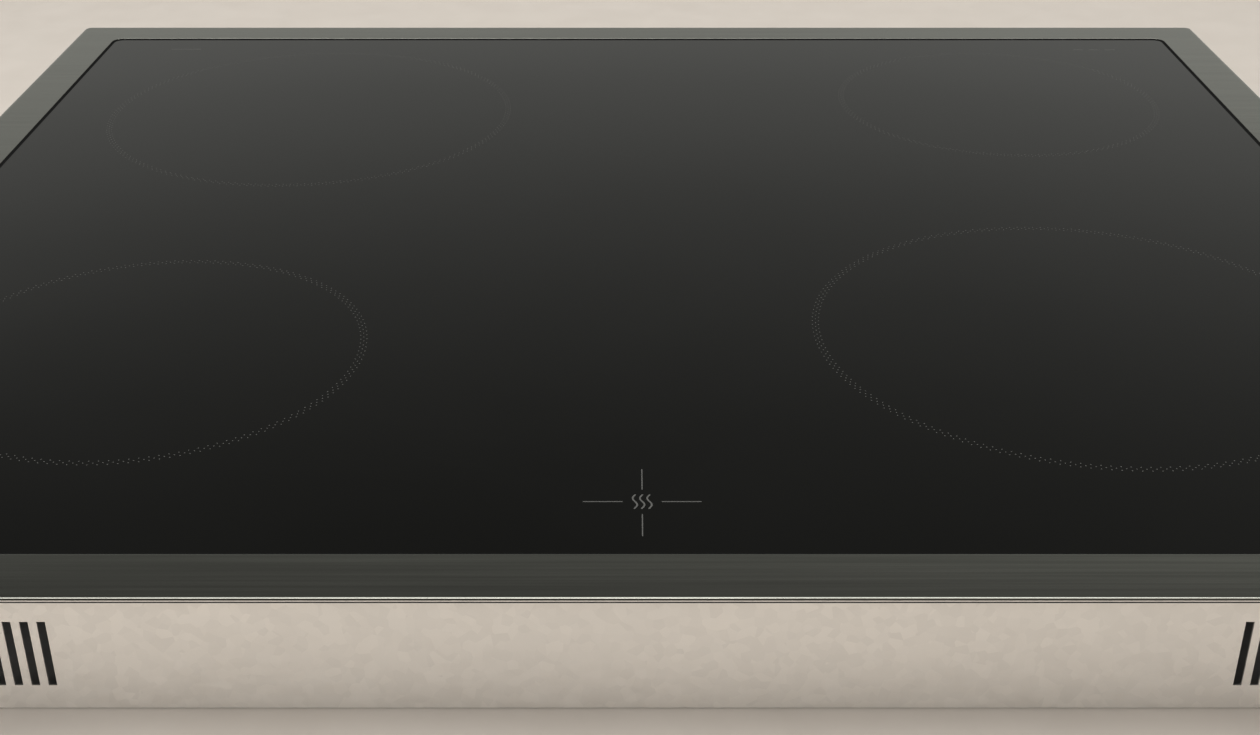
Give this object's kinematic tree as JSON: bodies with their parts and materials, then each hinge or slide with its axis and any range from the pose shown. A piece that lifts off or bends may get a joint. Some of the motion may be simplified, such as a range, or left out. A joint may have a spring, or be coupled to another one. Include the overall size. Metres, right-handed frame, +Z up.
{
  "type": "induction cooktop",
  "caption": "Drop-in induction hob with a black glass-ceramic top in a flat stainless-steel trim, four dotted ring zones and a shallow housing with swing-out worktop clamps.",
  "frame": {"origin": "centre of the hob on the plane of the worktop, which is the underside of the gasket under the trim frame", "axes": "+X to the right and +Y to the back as the cook sees it, +Z up; the housing hangs below the origin"},
  "size_m": [0.584, 0.514, 0.0518],
  "materials": {
    "glass_ceramic": "polished black glass-ceramic, opaque",
    "black_seal": "black silicone",
    "brushed_trim": "fine brushed stainless steel, long grain",
    "galvanised_sheet": "galvanised sheet, soft spangle",
    "gasket_foam": "closed-cell foam tape",
    "glass_print": "grey ceramic print",
    "litz_copper": "enamelled copper litz",
    "former_plastic": "pale heat-resistant plastic",
    "ferrite": "sintered ferrite",
    "mica": "mica sheet",
    "sensor_plastic": "ivory plastic",
    "aluminium_sheet": "mill finish",
    "heatsink_aluminium": "extruded",
    "spring_wire": "spring wire",
    "circuit_board": "green solder mask",
    "component_black": "moulded epoxy",
    "capacitor_yellow": "cast resin",
    "choke_copper": "enamelled copper",
    "black_plastic": "glass-filled black plastic",
    "rotor_plastic": "dark grey plastic",
    "zinc_steel": "zinc plated steel",
    "brass_nut": "turned brass",
    "touch_foam": "conductive foam",
    "light_plastic": "off-white plastic",
    "harness_grey": "grey insulation"
  },
  "bodies": {
    "hob": {"glass_plate": "glass_ceramic", "glass_seal": "black_seal", "trim_frame": "brushed_trim", "trim_adhesive": "black_seal", "carrier_frame": "galvanised_sheet", "worktop_gasket": "gasket_foam", "zone_print": "glass_print", "symbol_print": "glass_print", "coil_winding_front_left": "litz_copper", "coil_winding_front_right": "litz_copper", "coil_winding_rear_left": "litz_copper", "coil_winding_rear_right": "litz_copper", "coil_former_front_left": "former_plastic", "coil_former_front_right": "former_plastic", "coil_former_rear_left": "former_plastic", "coil_former_rear_right": "former_plastic", "ferrite_bars": "ferrite", "mica_sheets": "mica", "temperature_sensors": "sensor_plastic", "coil_rivets": "aluminium_sheet", "coil_plate_left": "aluminium_sheet", "coil_plate_right": "aluminium_sheet", "plate_posts": "sensor_plastic", "plate_springs": "spring_wire", "power_board_left": "circuit_board", "power_board_right": "circuit_board", "heatsink_left": "heatsink_aluminium", "heatsink_right": "heatsink_aluminium", "power_transistors": "component_black", "film_capacitors": "capacitor_yellow", "filter_chokes": "choke_copper", "fan_housing_left": "black_plastic", "fan_housing_right": "black_plastic", "fan_shafts": "zinc_steel", "air_duct_left": "black_plastic", "air_duct_right": "black_plastic", "control_housing": "black_plastic", "control_board": "circuit_board", "touch_pads": "touch_foam", "display_modules": "light_plastic", "bottom_tray": "galvanised_sheet", "tray_screws": "zinc_steel", "terminal_box": "black_plastic", "terminal_block": "light_plastic", "wiring_harness": "harness_grey"},
    "screw_front_left": {"clamp_screw_front_left": "zinc_steel"},
    "nut_front_left": {"clamp_nut_front_left": "brass_nut"},
    "arm_front_left": {"clamp_arm_front_left": "zinc_steel"},
    "screw_front_right": {"clamp_screw_front_right": "zinc_steel"},
    "nut_front_right": {"clamp_nut_front_right": "brass_nut"},
    "arm_front_right": {"clamp_arm_front_right": "zinc_steel"},
    "screw_rear_left": {"clamp_screw_rear_left": "zinc_steel"},
    "nut_rear_left": {"clamp_nut_rear_left": "brass_nut"},
    "arm_rear_left": {"clamp_arm_rear_left": "zinc_steel"},
    "screw_rear_right": {"clamp_screw_rear_right": "zinc_steel"},
    "nut_rear_right": {"clamp_nut_rear_right": "brass_nut"},
    "arm_rear_right": {"clamp_arm_rear_right": "zinc_steel"},
    "rotor_left": {"fan_rotor_left": "rotor_plastic"},
    "rotor_right": {"fan_rotor_right": "rotor_plastic"},
    "cover": {"terminal_cover": "black_plastic"}
  },
  "joints": [
    {"name": "clamp_turn_front_left", "type": "hinge", "parent": "hob", "child": "screw_front_left", "pos_m": [-0.262, -0.123, -0.04], "axis": [0, 0, 1], "range_deg": [0, 7200]},
    {"name": "clamp_lift_front_left", "type": "slide", "parent": "hob", "child": "nut_front_left", "axis": [0, 0, 1], "range_m": [0, 0.016]},
    {"name": "clamp_swing_front_left", "type": "hinge", "parent": "nut_front_left", "child": "arm_front_left", "pos_m": [-0.262, -0.123, -0.04], "axis": [0, 0, 1], "range_deg": [0, 90]},
    {"name": "clamp_turn_front_right", "type": "hinge", "parent": "hob", "child": "screw_front_right", "pos_m": [0.262, -0.123, -0.04], "axis": [0, 0, 1], "range_deg": [0, 7200]},
    {"name": "clamp_lift_front_right", "type": "slide", "parent": "hob", "child": "nut_front_right", "axis": [0, 0, 1], "range_m": [0, 0.016]},
    {"name": "clamp_swing_front_right", "type": "hinge", "parent": "nut_front_right", "child": "arm_front_right", "pos_m": [0.262, -0.123, -0.04], "axis": [0, 0, -1], "range_deg": [0, 90]},
    {"name": "clamp_turn_rear_left", "type": "hinge", "parent": "hob", "child": "screw_rear_left", "pos_m": [-0.262, 0.123, -0.04], "axis": [0, 0, 1], "range_deg": [0, 7200]},
    {"name": "clamp_lift_rear_left", "type": "slide", "parent": "hob", "child": "nut_rear_left", "axis": [0, 0, 1], "range_m": [0, 0.016]},
    {"name": "clamp_swing_rear_left", "type": "hinge", "parent": "nut_rear_left", "child": "arm_rear_left", "pos_m": [-0.262, 0.123, -0.04], "axis": [0, 0, -1], "range_deg": [0, 90]},
    {"name": "clamp_turn_rear_right", "type": "hinge", "parent": "hob", "child": "screw_rear_right", "pos_m": [0.262, 0.123, -0.04], "axis": [0, 0, 1], "range_deg": [0, 7200]},
    {"name": "clamp_lift_rear_right", "type": "slide", "parent": "hob", "child": "nut_rear_right", "axis": [0, 0, 1], "range_m": [0, 0.016]},
    {"name": "clamp_swing_rear_right", "type": "hinge", "parent": "nut_rear_right", "child": "arm_rear_right", "pos_m": [0.262, 0.123, -0.04], "axis": [0, 0, 1], "range_deg": [0, 90]},
    {"name": "fan_spin_left", "type": "hinge", "parent": "hob", "child": "rotor_left", "pos_m": [-0.199, 0.148, -0.036], "axis": [0, 0, 1], "continuous": true},
    {"name": "fan_spin_right", "type": "hinge", "parent": "hob", "child": "rotor_right", "pos_m": [0.199, 0.148, -0.036], "axis": [0, 0, 1], "continuous": true},
    {"name": "cover_swing", "type": "hinge", "parent": "hob", "child": "cover", "pos_m": [0.071, 0.2404, -0.0469], "axis": [-1, 0, 0], "range_deg": [0, 90]}
  ],
  "couplings": [
    {"joint": "clamp_turn_front_left", "follows": "clamp_lift_front_left", "rad_per_m": 7854},
    {"joint": "clamp_turn_front_right", "follows": "clamp_lift_front_right", "rad_per_m": 7854},
    {"joint": "clamp_turn_rear_left", "follows": "clamp_lift_rear_left", "rad_per_m": 7854},
    {"joint": "clamp_turn_rear_right", "follows": "clamp_lift_rear_right", "rad_per_m": 7854}
  ]
}
